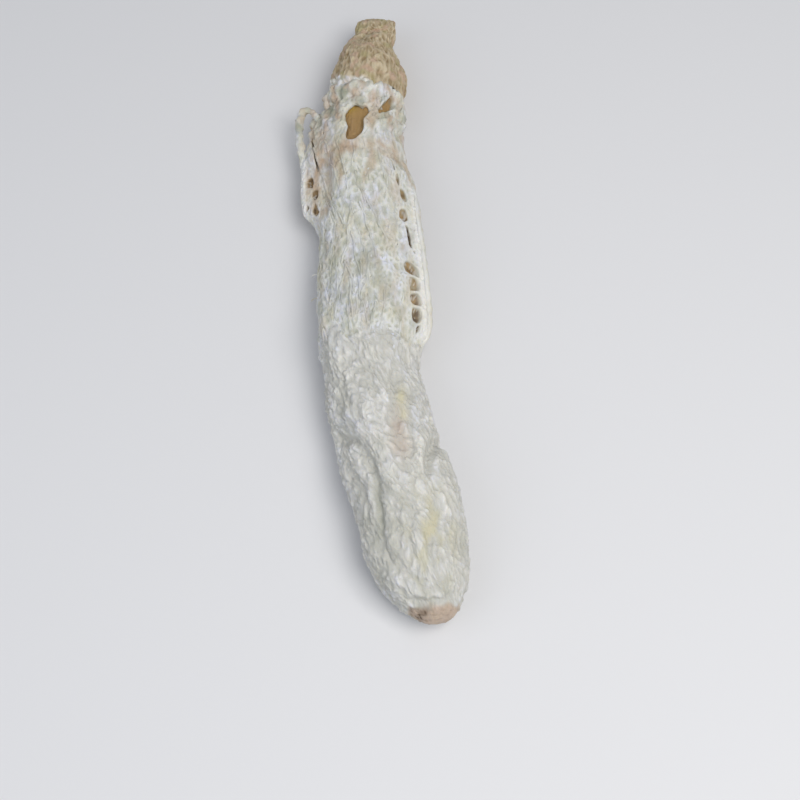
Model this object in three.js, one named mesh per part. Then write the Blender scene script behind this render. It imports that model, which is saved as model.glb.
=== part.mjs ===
// Dried bamboo fungus, lying on its flattened underside: a wrinkled spongy stem, a net-like veil that
// hangs down round it from under the cap, and a thimble-shaped cap. Millimetres, +Z up. The stem's tip
// points towards -Y and the cap towards +Y. The origin is on the ground under the middle of the whole.
import * as THREE from "three";

// Driving dimensions. Each station is a cross-section, so far from the stem's tip along Y.
const stem = {
  stations: [
    { y: 0, x: 9, halfWidth: 9.8, height: 18, lift: 0 },
    { y: 12, x: 4.6, halfWidth: 11.6, height: 19, lift: 0 },
    { y: 24, x: 3, halfWidth: 13.2, height: 20, lift: 0 },
    { y: 37, x: 0, halfWidth: 14, height: 20.4, lift: 0 },
    { y: 51, x: -4, halfWidth: 12.9, height: 20, lift: 0 },
    { y: 61, x: -6.3, halfWidth: 13.1, height: 19, lift: 0.3 },
    { y: 70, x: -7.9, halfWidth: 11.6, height: 16.8, lift: 2.1 },
    { y: 92, x: -8, halfWidth: 10.4, height: 15.6, lift: 2.5 },
    { y: 115, x: -10.2, halfWidth: 9.1, height: 14.8, lift: 2.3 },
    { y: 135, x: -11, halfWidth: 7.8, height: 13.2, lift: 2.6 },
    { y: 148, x: -9.5, halfWidth: 4.7, height: 8.4, lift: 4.8 },
    { y: 158, x: -9.3, halfWidth: 4.4, height: 8, lift: 5 },
  ],
  tipRounding: 16,
  neckRounding: 5,
  foldDepth: 0.03, // share of the section's size
  sides: 44,
  rings: 56,
};
const veil = {
  stations: [
    { y: 69, x: -7.8, halfWidth: 14.1, height: 22, lift: 0 },
    { y: 77, x: -7.4, halfWidth: 14.6, height: 21.2, lift: 0 },
    { y: 88, x: -6.9, halfWidth: 14.9, height: 20.6, lift: 0 },
    { y: 100, x: -7.5, halfWidth: 14.6, height: 19.8, lift: 0 },
    { y: 112, x: -8.8, halfWidth: 14.3, height: 19.4, lift: 0 },
    { y: 125, x: -11, halfWidth: 15, height: 19, lift: 0 },
    { y: 135, x: -12.8, halfWidth: 14.4, height: 18.4, lift: 0 },
    { y: 143.5, x: -13.6, halfWidth: 14.2, height: 17.4, lift: 0.3 },
    { y: 147, x: -11.4, halfWidth: 11.8, height: 16.8, lift: 0.6 },
    { y: 150.6, x: -9.5, halfWidth: 9.2, height: 15.4, lift: 1.3 },
  ],
  wall: 1,
  cellsRound: 18,
  rows: 12,
  opening: 0.62, // a mesh opening's share of its cell
  wideOpening: 0.84,
  // The wide meshes, as row and place round: two eyes in the collar under the cap and a loop at the side.
  wideCells: [
    [11, 4],
    [11, 2],
    [10, 8],
    [9, 8],
  ],
  waver: { turn: 0.05, rise: 0.9 }, // how far a cell strays from an even net
};
const cap = {
  x: -9.3,
  rimY: 152,
  centreZ: 9,
  flatness: 0.84, // its height across, as a share of its width
  crumple: 0.03,
  sides: 40,
  outline: [
    [9.6, 0, -0.3], // radius, height above the rim, and how far the middle has drifted sideways
    [10.1, 1.2, -0.3],
    [10.5, 5, 0],
    [10.2, 10, 0.2],
    [9.1, 13.5, 0.3],
    [8.3, 16.6, 0.1],
    [7, 19.6, 0.5],
    [6.1, 21.8, 1.5],
    [5.7, 24, 2.5],
    [6, 26, 2.5],
    [5.5, 28.6, 2.4],
    [3.6, 30, 2.3],
  ],
  cavity: [
    [8.8, 0.2],
    [8.2, 8.5],
  ],
};
// A section lies flat where it met the drying rack: its centre sits below half its height.
const flatSide = { centre: 0.47, half: 0.53 };

// Reads the cross-section at any distance along the fungus, as a smooth curve through the stations.
function sectionsAlong(stations) {
  const places = stations.map((s) => s.y);
  const values = stations.flatMap((s) => [s.x, s.halfWidth, s.height, s.lift]);
  const curve = new THREE.CubicInterpolant(places, values, 4, new Float64Array(4));
  return (y) => {
    const [x, halfWidth, height, lift] = curve.evaluate(y);
    return { x, halfWidth, height, lift: Math.max(0, lift) };
  };
}

// The point of a section at an angle, drawn in by inset and scaled about its middle.
function pointOn(section, y, angle, inset = 0, scale = 1) {
  const floor = section.lift + inset;
  const height = section.height - 2 * inset;
  const middle = floor + height * flatSide.centre;
  const rise = height * flatSide.half * scale * Math.sin(angle);
  const reach = (section.halfWidth - inset) * scale * Math.cos(angle);
  return new THREE.Vector3(section.x + reach, y, Math.max(floor, middle + rise));
}

// How full the stem is towards its two rounded ends: 0 at the very end and 1 past the rounding.
function fullness(fromEnd, rounding) {
  const share = Math.min(1, fromEnd / rounding);
  return Math.sqrt(1 - (1 - share) ** 2);
}

// Long folds that run down the stem and drift round it.
function folds(angle, y) {
  return (
    0.5 * Math.cos(5 * angle + 0.06 * y) +
    0.3 * Math.cos(9 * angle - 0.11 * y + 1) +
    0.4 * Math.sin(2 * angle + 0.13 * y)
  );
}

function stemGeometry() {
  const length = stem.stations.at(-1).y;
  const sectionAt = sectionsAlong(stem.stations);
  const geometry = new THREE.SphereGeometry(1, stem.sides, stem.rings);
  const place = geometry.getAttribute("position");
  for (let i = 0; i < place.count; i++) {
    const y = (length * (1 + place.getY(i))) / 2;
    const angle = Math.atan2(place.getZ(i), place.getX(i));
    const full = fullness(y, stem.tipRounding) * fullness(length - y, stem.neckRounding);
    const scale = full * (1 + stem.foldDepth * folds(angle, y));
    const point = pointOn(sectionAt(y), y, angle, 0, scale);
    place.setXYZ(i, ...point);
  }
  return geometry;
}

// One six-sided mesh of the net: its corners as offsets from its centre, in cells and rows.
const cellCorners = [
  [0, 2 / 3],
  [0.5, 1 / 3],
  [0.5, -1 / 3],
  [0, -2 / 3],
  [-0.5, -1 / 3],
  [-0.5, 1 / 3],
];

// The veil is a net of six-sided meshes round the stem. The corners of each cell are shared with its
// neighbours, and its opening is the same shape drawn in. Outer and inner skins are walled together.
function veilGeometry() {
  const sectionAt = sectionsAlong(veil.stations);
  const hem = veil.stations[0].y;
  const rowPitch = (veil.stations.at(-1).y - hem) / (veil.rows - 1 + 4 / 3);
  const points = [];
  const indexOf = new Map();
  // A vertex at so many cells round and rows up, on the outer skin (0) or the inner (1).
  const vertex = (across, up, skin) => {
    const round = ((across % veil.cellsRound) + veil.cellsRound) % veil.cellsRound;
    const key = `${round.toFixed(3)} ${up.toFixed(3)} ${skin}`;
    if (!indexOf.has(key)) {
      const turn = (2 * Math.PI * round) / veil.cellsRound;
      const angle = turn + veil.waver.turn * Math.sin(5 * turn + 2.7 * up);
      const y = hem + (up + 2 / 3) * rowPitch + veil.waver.rise * Math.sin(3 * turn + 1.9 * up);
      indexOf.set(key, points.length);
      points.push(pointOn(sectionAt(y), y, angle, skin * veil.wall));
    }
    return indexOf.get(key);
  };

  const faces = [];
  const edges = new Map(); // the outer skin's edges that only one face uses
  const quad = (a, b, c, d) => faces.push([a, b, c], [a, c, d]);
  for (let row = 0; row < veil.rows; row++) {
    for (let cell = 0; cell < veil.cellsRound; cell++) {
      const centre = [cell + 0.5 * (row % 2), row];
      const isWide = veil.wideCells.some(([r, place]) => r === row && place === cell);
      const opening = isWide ? veil.wideOpening : veil.opening;
      const corner = (k, share, skin) => {
        const [across, up] = cellCorners[k % 6];
        return vertex(centre[0] + share * across, centre[1] + share * up, skin);
      };
      for (let k = 0; k < 6; k++) {
        const outer = [0, 1].map((skin) => [corner(k, 1, skin), corner(k + 1, 1, skin)]);
        const inner = [0, 1].map((skin) => [
          corner(k, opening, skin),
          corner(k + 1, opening, skin),
        ]);
        quad(outer[0][0], outer[0][1], inner[0][1], inner[0][0]);
        quad(inner[1][0], inner[1][1], outer[1][1], outer[1][0]);
        quad(inner[0][0], inner[0][1], inner[1][1], inner[1][0]);
        const [from, to] = outer[0];
        const back = `${to} ${from}`;
        if (edges.has(back)) edges.delete(back);
        else edges.set(`${from} ${to}`, [to, from, outer[1][0], outer[1][1]]);
      }
    }
  }
  for (const wall of edges.values()) quad(...wall);

  const geometry = new THREE.BufferGeometry();
  geometry.setAttribute(
    "position",
    new THREE.Float32BufferAttribute(points.flatMap((p) => p.toArray()), 3),
  );
  geometry.setIndex(faces.flat());
  geometry.computeVertexNormals();
  return geometry;
}

function capGeometry() {
  const profile = [
    [0, cap.cavity.at(-1)[1] + 0.8],
    ...cap.cavity.slice().reverse(),
    ...cap.outline,
    [0, cap.outline.at(-1)[1] + 0.3],
  ].map(([radius, height]) => new THREE.Vector2(radius, height));
  const heights = cap.outline.map((row) => row[1]);
  const drifts = cap.outline.map((row) => row[2]);
  const drift = new THREE.LinearInterpolant(heights, drifts, 1, new Float64Array(1));
  const geometry = new THREE.LatheGeometry(profile, cap.sides);
  const place = geometry.getAttribute("position");
  for (let i = 0; i < place.count; i++) {
    const [x, y, z] = [place.getX(i), place.getY(i), place.getZ(i)];
    const angle = Math.atan2(z, x);
    const swell = 1 + cap.crumple * Math.sin(3 * angle + 0.25 * y);
    place.setXYZ(i, x * swell + drift.evaluate(y)[0], y, z * swell * cap.flatness);
  }
  geometry.computeVertexNormals();
  return geometry;
}

function named(name, geometry, color, roughness) {
  const material = new THREE.MeshStandardMaterial({ color, roughness, metalness: 0 });
  const mesh = new THREE.Mesh(geometry, material);
  mesh.name = name;
  return mesh;
}

const capMesh = named("cap", capGeometry(), 0xb49c7c, 0.9);
capMesh.position.set(cap.x, cap.rimY, cap.centreZ);

const fungus = new THREE.Group();
fungus.add(named("stem", stemGeometry(), 0xe4e2d8, 0.85));
fungus.add(named("veil", veilGeometry(), 0xe0dccb, 0.85));
fungus.add(capMesh);

// Bring the middle of the underside to the origin.
const extent = new THREE.Box3().setFromObject(fungus);
const middle = extent.getCenter(new THREE.Vector3());
fungus.position.set(-middle.x, -middle.y, -extent.min.z);

export default fungus;
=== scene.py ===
import math
from itertools import product

import bpy
import numpy as np
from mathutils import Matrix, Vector
from mathutils.bvhtree import BVHTree


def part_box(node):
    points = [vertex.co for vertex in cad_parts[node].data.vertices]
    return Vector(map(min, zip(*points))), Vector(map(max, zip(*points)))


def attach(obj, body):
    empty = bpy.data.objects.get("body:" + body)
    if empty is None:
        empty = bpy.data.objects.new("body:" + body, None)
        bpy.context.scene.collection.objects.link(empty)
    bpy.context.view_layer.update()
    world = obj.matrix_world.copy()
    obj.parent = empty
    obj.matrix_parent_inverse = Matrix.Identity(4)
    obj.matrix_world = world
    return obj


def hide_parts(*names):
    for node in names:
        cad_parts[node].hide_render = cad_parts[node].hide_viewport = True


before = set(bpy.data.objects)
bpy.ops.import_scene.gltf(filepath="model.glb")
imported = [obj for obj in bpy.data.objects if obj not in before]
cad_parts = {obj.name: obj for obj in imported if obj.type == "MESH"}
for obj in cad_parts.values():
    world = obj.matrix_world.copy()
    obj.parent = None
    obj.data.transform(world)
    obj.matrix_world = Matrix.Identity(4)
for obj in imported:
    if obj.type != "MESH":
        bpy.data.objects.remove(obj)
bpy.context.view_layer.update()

mm = 0.001  # shapes below are worked out in millimetres, and Blender gets metres
lowest = 0.02  # no point of the fungus is nearer to the floor
tipY, neckY = (corner.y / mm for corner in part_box("stem"))
hemY, collarY = (corner.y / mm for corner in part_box("veil"))
rimY, crownY = (corner.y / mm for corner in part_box("cap"))
print(f"frame loaded: the fungus lies from {tipY:.1f} to {crownY:.1f} mm")


variety = 4096


def pick(cells, seed):  # a repeatable number below variety for each whole-numbered cell
    x, y, z = (cells[..., k].astype(np.int64) for k in range(3))
    mixed = (x * 73856093) ^ (y * 19349663) ^ (z * 83492791) ^ (seed * 2654435)
    return (mixed ^ (mixed >> 13)) % variety


dice = np.random.default_rng(11)
slopes = dice.normal(size=(variety, 3))
slopes /= np.linalg.norm(slopes, axis=1, keepdims=True)
jitters = dice.random((variety, 3))


def waves(points, size, seed):  # soft noise from about -1 to 1; size is the width of its lumps
    place = points / np.asarray(size, float)
    cell = np.floor(place)
    local = place - cell
    ease = local ** 3 * (local * (local * 6 - 15) + 10)
    total = 0
    for corner in product((0, 1), repeat=3):
        corner = np.array(corner)
        share = np.prod(np.where(corner, ease, 1 - ease), axis=-1)
        total = total + share * ((local - corner) * slopes[pick(cell + corner, seed)]).sum(-1)
    return total * 1.6


def drift(points, size, seeds):  # the same along each axis
    return np.stack([waves(points, size, seed) for seed in seeds], -1)


def lumps(points, size, seed):  # 0 in the crease between two lumps, 1 deep inside one
    place = points / np.asarray(size, float)
    cell = np.floor(place)
    nearest = np.full(place.shape[:-1], 9.0)
    second = nearest.copy()
    for offset in product((-1, 0, 1), repeat=3):
        near = cell + np.array(offset)
        gap = np.linalg.norm(near + jitters[pick(near, seed)] - place, axis=-1)
        second = np.minimum(second, np.maximum(nearest, gap))
        nearest = np.minimum(nearest, gap)
    return np.clip(second - nearest, 0, 1)


def rise(value, low, high):  # 0 below low, 1 above high, smooth between
    share = np.clip((value - low) / (high - low), 0, 1)
    return share * share * (3 - 2 * share)


def hump(value, middle, width):  # 1 at the middle, fading to nothing a width away
    return np.exp(-(((value - middle) / width) ** 2))


def addStainsAndShade(masks, stainsAndShade, x, y, share=1):
    for stainX, stainY, halfWidth, halfLength, mask, strength in stainsAndShade:
        spot = hump(x, stainX, halfWidth) * hump(y, stainY, halfLength)
        masks[mask] = masks[mask] + strength * share * spot


def cornersOf(node):
    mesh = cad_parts[node].data
    corners = np.empty(len(mesh.vertices) * 3)
    mesh.vertices.foreach_get("co", corners)
    return corners.reshape(-1, 3) / mm


def axisOf(node, places):  # the middle of the node's section at each place along Y, as x and z
    corners = cornersOf(node)
    slab = 4
    middles = []
    for y in places:
        near = corners[np.abs(corners[:, 1] - y) < slab][:, [0, 2]]
        middles.append((near.min(0) + near.max(0)) / 2)
    return np.array(middles)


def reachOf(node, places, middles, turns):  # how far the node's outer skin is from its axis, all round
    polygons = [tuple(p.vertices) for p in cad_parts[node].data.polygons]
    tree = BVHTree.FromPolygons([tuple(c) for c in cornersOf(node)], polygons)
    far = 60.0
    reach = np.zeros((len(places), len(turns)))
    for i, (y, (x, z)) in enumerate(zip(places, middles)):
        for j, turn in enumerate(turns):
            out = Vector((math.cos(turn), 0, math.sin(turn)))
            reach[i, j] = far - tree.ray_cast(Vector((x, y, z)) + out * far, -out)[3]
    return reach


def netReachOf(node, wall, places, middles, turns):  # the same for a net of two skins, across its openings
    corners = cornersOf(node)
    axis = np.column_stack([np.interp(corners[:, 1], places, middles[:, k]) for k in (0, 1)])
    out = corners[:, [0, 2]] - axis
    radius = np.linalg.norm(out, axis=1)
    turnOf = np.arctan2(out[:, 1], out[:, 0])
    blur = 3.0
    reach = np.zeros((len(places), len(turns)))
    for i, y in enumerate(np.clip(places, hemY, collarY)):
        along = (corners[:, 1] - y) / blur
        for j, turn in enumerate(turns):
            across = (np.mod(turnOf - turn + math.pi, 2 * math.pi) - math.pi) * radius / blur
            share = np.exp(-along ** 2 - across ** 2)
            reach[i, j] = (share * radius).sum() / share.sum() + wall / 2
    return reach


def readGrid(grid, row, column):  # a smooth surface through a grid whose columns go right round
    rows, columns = grid.shape[:2]
    row = np.clip(row, 0, rows - 1.001)
    r, c = np.floor(row).astype(int), np.floor(column).astype(int)
    total = 0
    for (i, a), (j, b) in product(enumerate(splineShares(row - r)), enumerate(splineShares(column - c))):
        value = grid[np.clip(r + i - 1, 0, rows - 1), (c + j - 1) % columns]
        share = a * b
        total = total + value * (share[..., None] if grid.ndim == 3 else share)
    return total


def splineShares(f):
    low, high = (1 - f) ** 3 / 6, f ** 3 / 6
    return (low, (3 * f ** 3 - 6 * f ** 2 + 4) / 6, (3 * f * (1 + f - f ** 2) + 1) / 6, high)


def readLine(points, row):  # a smooth line through points
    return readGrid(points[:, None], row, np.zeros_like(row))


def turnsOf(count):  # angles spread evenly all the way round
    return np.arange(count) * 2 * math.pi / count


turns = turnsOf(72)


def readSkin(reach, places, y, turn):  # how far out a measured skin is
    return readGrid(reach, rowOf(places, y), np.mod(turn, 2 * math.pi) * len(turns) / (2 * math.pi))


def rowOf(places, y):
    return (y - places[0]) / (places[1] - places[0])


def roundAxis(axis, reach, y, turn):  # points at a reach from the axis
    return np.stack([axis[..., 0] + reach * np.cos(turn), y, axis[..., 1] + reach * np.sin(turn)], -1)


def tubeOf(rows, columns):  # faces of a closed tube whose two end points come after its rows of points
    first = np.arange(rows - 1)[:, None] * columns
    here, there = np.arange(columns)[None], (np.arange(columns)[None] + 1) % columns
    quads = np.stack([first + here, first + columns + here, first + columns + there, first + there], -1)
    last = (rows - 1) * columns
    start, end = rows * columns, rows * columns + 1
    ends = [(start, k, (k + 1) % columns) for k in range(columns)]
    ends += [(end, last + (k + 1) % columns, last + k) for k in range(columns)]
    return quads.reshape(-1, 4).tolist() + ends


def normalsOf(points):  # outward normals of a grid of points whose columns go round
    along = np.gradient(points, axis=0)
    across = np.roll(points, -1, axis=1) - np.roll(points, 1, axis=1)
    normal = np.cross(along, across)
    return normal / np.maximum(np.linalg.norm(normal, axis=-1, keepdims=True), 1e-9)


def addObject(name, data):
    thing = bpy.data.objects.new(name, data)
    bpy.context.collection.objects.link(thing)
    return thing


def makePiece(name, points, faces, masks, material, node):
    mesh = bpy.data.meshes.new(name)
    mesh.from_pydata((points * mm).tolist(), [], faces)
    for mask, values in masks.items():
        values = np.clip(values, 0, 1).astype(np.float32)
        mesh.attributes.new(mask, "FLOAT", "POINT").data.foreach_set("value", values)
    mesh.polygons.foreach_set("use_smooth", np.ones(len(mesh.polygons), bool))
    mesh.materials.append(material)
    piece = addObject(name, mesh)
    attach(piece, "root")
    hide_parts(node)
    print(f"{name}: {len(mesh.polygons)} faces, {sum(p.loop_total - 2 for p in mesh.polygons)} triangles")


def makeTube(name, points, ends, masks, material, node):  # a piece from a grid of points and two end points
    for mask, values in masks.items():
        masks[mask] = np.concatenate([values.ravel(), [values[0, 0], values[-1, 0]]])
    solid = np.concatenate([points.reshape(-1, 3), ends])
    makePiece(name, solid, tubeOf(*points.shape[:2]), masks, material, node)


def hexColour(code):  # sRGB hex to the linear colour that Blender works in
    parts = [int(code[i:i + 2], 16) / 255 for i in (1, 3, 5)]
    return (*[c / 12.92 if c <= 0.04045 else ((c + 0.055) / 1.055) ** 2.4 for c in parts], 1)


def wire(tree, node, links):  # links: for each input, an output socket or a value
    for key, value in links.items():
        if isinstance(value, bpy.types.NodeSocket):
            tree.links.new(value, node.inputs[key])
        else:
            node.inputs[key].default_value = value


def addNode(tree, kind, output, links=None, **settings):  # adds a node and gives one of its outputs
    node = tree.nodes.new("ShaderNode" + kind)
    for key, value in settings.items():
        setattr(node, key, value)
    wire(tree, node, links or {})
    return node.outputs[output]


# Dried stinkhorn flesh is a foam of thin white walls that shrank and crumpled as it dried. It is chalky and
# matt, and a little light passes through it. Its creases are painted yellower and greyer than its crests:
# painted shade.
def fleshMaterial(name, look):
    material = bpy.data.materials.new(name)
    material.use_nodes = True
    tree = material.node_tree
    place = addNode(tree, "TexCoord", "Object")

    # Fine wrinkles, drawn out along the fungus, and the edges of the crumpled cells between them.
    along = addNode(tree, "Mapping", "Vector", {"Vector": place, "Scale": (1, look["drawnOut"], 1)})
    bend = addNode(tree, "TexNoise", "Color", {"Vector": along, "Scale": 0.4 / look["crepe"], "Detail": 2.0})
    bent = addNode(tree, "VectorMath", "Vector", {0: bend, 1: [3 * look["crepe"]] * 3, 2: along},
                   operation="MULTIPLY_ADD")
    crepe = addNode(tree, "TexNoise", "Fac",
                    {"Vector": bent, "Scale": 1 / look["crepe"], "Detail": 4.0, "Roughness": 0.62})
    cells = addNode(tree, "TexVoronoi", "Distance", {"Vector": bent, "Scale": 0.55 / look["crepe"]},
                    feature="DISTANCE_TO_EDGE")
    crest = addNode(tree, "MapRange", "Result",
                    {"Value": cells, "From Max": 0.3, "To Max": look["cellDepth"]})
    height = addNode(tree, "Math", "Value", {0: crepe, 1: crest}, operation="ADD")
    grain = addNode(tree, "TexNoise", "Fac",
                    {"Vector": place, "Scale": 1 / look["grain"], "Detail": 2.0, "Roughness": 0.6})
    coarse = addNode(tree, "Bump", "Normal", {"Height": height, "Distance": look["crepeDepth"]})
    fine = addNode(tree, "Bump", "Normal",
                   {"Height": grain, "Distance": look["grainDepth"], "Normal": coarse})

    # Painted shade: low places of the fine wrinkles are tinted darker with the hollow colour. Wide soft
    # patches get a tone that varies at random.
    middle = 0.5 + 0.8 * look["cellDepth"]
    low = addNode(tree, "MapRange", "Result",
                  {"Value": height, "From Min": middle + 0.12, "From Max": middle - 0.22,
                   "To Max": look["tinting"]})
    cloud = addNode(tree, "TexNoise", "Fac",
                    {"Vector": along, "Scale": 1 / look["patch"], "Detail": 3.0, "Roughness": 0.6})
    hues = addNode(tree, "ValToRGB", "Color", {"Fac": cloud})
    ramp = hues.node.color_ramp.elements
    ramp[0].position, ramp[0].color = 0.36, hexColour(look["cool"])
    ramp[1].position, ramp[1].color = 0.66, hexColour(look["warm"])
    ramp.new(0.5).color = hexColour(look["white"])
    layer = addNode(tree, "Mix", 2, {0: low, 6: hues, 7: hexColour(look["hollowShade"])}, data_type="RGBA")

    # Stains, painted shade and painted light lie where the mesh's own masks put them.
    for tint, code in look["tints"].items():
        share = addNode(tree, "Attribute", "Fac", attribute_name=tint)
        layer = addNode(tree, "Mix", 2, {0: share, 6: layer, 7: hexColour(code)}, data_type="RGBA")
    wire(tree, tree.nodes["Principled BSDF"], {
        "Base Color": layer,
        "Normal": fine,
        "Roughness": look["roughness"],
        "IOR": look["ior"],
        "Specular IOR Level": 0.25,
        "Subsurface Weight": 0.2,
        "Subsurface Radius": (1.0, 0.8, 0.55),
        "Subsurface Scale": 1.2 * mm,
    })
    return material


stemFlesh = {
    "white": "#faf8f7",
    "cool": "#eaecf8",
    "warm": "#f1edde",
    "hollowShade": "#dadad5",
    "tinting": 0.5,
    "patch": 4 * mm,
    "crepe": 0.8 * mm,  # width of its finest wrinkles
    "crepeDepth": 0.24 * mm,
    "cellDepth": 0.4,
    "drawnOut": 0.5,  # wrinkles are longer than wide
    "grain": 0.3 * mm,  # the foam's walls
    "grainDepth": 0.06 * mm,
    "roughness": 0.85,
    "ior": 1.45,
    # Laid over the white in this order. The crease tint is painted shade and the gold tint painted light;
    # ochre, grey and stain also carry painted shade in some places.
    "tints": {
        "creaseShade": "#cac9c2",
        "grey": "#a9aa9d",
        "tan": "#ccb6a4",
        "yellow": "#dbd2a9",
        "ochre": "#a07b3e",
        "goldLight": "#c3a13a",
        "stainAndShade": "#6d5c4a",
    },
}
# The net's strands are thinner and denser than the stem, so they look greyer; the net's copy of the flesh
# is painted greyer and a little yellow: painted shade for the shade among its strands.
netFlesh = {
    **stemFlesh,
    "white": "#eae9e2",
    "warm": "#dcd6bf",
    "crepe": 0.6 * mm,
    "tints": {
        "creaseShade": "#bfc0ad",
        "grey": "#a6a897",
        "tan": "#c3ae98",
        "ochre": "#b8945e",
        "stainAndShade": "#6d5c4a",
        "pale": "#f4f2ec",
    },
}
# The cap lost its slime of spores and dried to a tan leathery skin, brown in its pits.
capFlesh = {
    **stemFlesh,
    "crepe": 0.6 * mm,
    "crepeDepth": 0.2 * mm,
    "tints": {
        "creaseShade": "#b9b6a2",
        "ridge": "#d0c1a5",
        "pit": "#927c5a",
        "olive": "#b0a67c",
        "tan": "#c4a892",
        "ochre": "#a98550",
    },
}


# The stem's outer shape, with the veil's shape over it.
stemLook = {
    "tipRounding": 16,  # the stem's end is rounded over this length
    "neckEnd": rimY + 5,
    "underVeil": 0.85,  # depth of its skin below the veil's outer skin, where the veil clings to it
    "neckReach": 7.4,  # radius of the neck seen through the collar's eyes
    "rightGap": 0.6,  # how much of the gap below the right flap stays open
    "columns": 256,
    "step": 0.33,  # mesh spacing in the open
    "stepUnderVeil": 0.9,
    "stepInNeck": 0.7,
    "twist": -0.02,  # the wrinkles wind slowly round the stem, in radians a millimetre
    # Folds seen from above: points along each as x and y, then how wide and how deep.
    "folds": [
        ([(-10.2, -41), (-8.6, -45.8), (-5.7, -47.2), (-3.4, -50.2), (-1.1, -53.6), (0.4, -58), (1.0, -65),
          (0.9, -72.4), (2.3, -76), (4.6, -79.2), (7.4, -82.4)], 1.15, 0.85),
        ([(-8.5, -46), (-6.4, -52.6), (-4.9, -58), (-2.9, -60.3), (-1.8, -65), (-1.0, -69), (0.2, -74),
          (1.4, -79.5)], 0.7, 0.65),
        ([(-9.0, -27), (-8.2, -34), (-4.6, -40), (-2.4, -46)], 0.9, 0.4),
        ([(9.4, -28.5), (8.4, -34), (8.2, -38), (8.8, -43.5), (9.2, -49), (8.0, -55)], 0.9, 0.6),
        ([(6.0, -26), (5.4, -33), (5.2, -42), (6.4, -50), (7.4, -56)], 2.6, 0.7),
        ([(13.8, -58), (14.2, -66), (13.6, -74), (11.8, -81)], 1.4, 0.6),
        ([(7.2, -60), (8.6, -67), (8.4, -74), (9.4, -80)], 0.9, 0.5),
        ([(21.5, -42), (18.0, -44.8), (14.8, -47.4), (13.2, -52), (12.6, -60)], 1.3, 1.5),
        ([(4.6, -84.6), (8.4, -87.2), (12.2, -88.4), (16.6, -87.6), (19.4, -84.6)], 0.7, 0.8),
    ],
    # Stains and painted shade seen from above: x, place along Y, half width, half length, mask, strength.
    # The two grey ones lie in folds and are painted shade; the tan and yellow ones are the flesh's own tints.
    "stainsAndShade": [
        (1.2, -66, 2.2, 13, "grey", 0.45), (-8.5, -42, 2, 7, "grey", 0.4),
        (5.4, -43, 2.0, 5, "tan", 0.5), (6.2, -50, 2.1, 3.4, "tan", 0.75),
        (6.2, -36, 1.2, 3, "yellow", 0.6), (6.8, -41, 0.9, 1.6, "yellow", 0.5),
    ],
}
stemPlaces = np.arange(tipY + 1.5, neckY - 1.5, 1.5)
stemAxis = axisOf("stem", stemPlaces)
stemReach = reachOf("stem", stemPlaces, stemAxis, turns)


def tipFullness(y):
    share = np.clip((y - tipY) / stemLook["tipRounding"], 0, 1)
    return np.sqrt(np.maximum(1 - (1 - share) ** 2, 0))


stemReach /= tipFullness(stemPlaces)[:, None]
veilReach = netReachOf("veil", 1.0, stemPlaces, stemAxis, turns)


def axisAt(y):
    return readLine(stemAxis, rowOf(stemPlaces, y))


def freeShare(y, turn):  # 1 where the veil stands off the stem: a flap at each side and the collar
    side = np.cos(turn)
    along = rise(y, hemY + 2, hemY + 10) * (1 - rise(y, 22, 36))
    right = stemLook["rightGap"] * rise(side, 0.45, 0.85) * along
    left = rise(-side, 0.6, 0.93) * rise(y, 16, 30)
    return np.maximum(np.maximum(right, left), rise(y, collarY - 21, collarY - 17))


def veilSkin(y, turn):
    return readSkin(veilReach, stemPlaces, y, turn)


def stemSkin(y, turn):
    skin = readSkin(stemReach, stemPlaces, y, turn) * tipFullness(y)
    neck = stemLook["neckReach"] - 0.7 * rise(y, rimY - 3, rimY + 1) - 3 * rise(y, rimY + 1.5, rimY + 5)
    neck = neck * (1 + 0.16 * np.cos(turn) ** 2)
    skin = np.maximum(skin, neck * rise(y, collarY - 24, collarY - 17))
    held = (1 - freeShare(y, turn)) * rise(y, hemY - 5, hemY + 4)
    return skin + held * np.maximum(veilSkin(y, turn) - stemLook["underVeil"] - skin, 0)


capPlaces = np.arange(rimY + 0.8, crownY - 1.4, 0.8)
capAxis = axisOf("cap", capPlaces)
capReach = reachOf("cap", capPlaces, capAxis, turns)


def capSkin(y, turn):
    return readSkin(capReach, capPlaces, y, turn)


print("outer shapes measured")


def foldAt(x, y, path, width, depth):  # a groove along a path, with the flesh pushed up at both sides
    path = np.array(path, float)
    away = np.full(x.shape, 99.0)
    for start, run in zip(path, np.diff(path, axis=0)):
        share = np.clip(((x - start[0]) * run[0] + (y - start[1]) * run[1]) / (run @ run), 0, 1)
        away = np.minimum(away, np.hypot(x - start[0] - share * run[0], y - start[1] - share * run[1]))
    fade = 1
    for end in (path[0], path[-1]):
        fade = fade * rise(np.hypot(x - end[0], y - end[1]), 0, 6)
    return fade * depth * (0.25 * hump(away, 2 * width, 1.1 * width) - np.exp(-((away / width) ** 2)))


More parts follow.
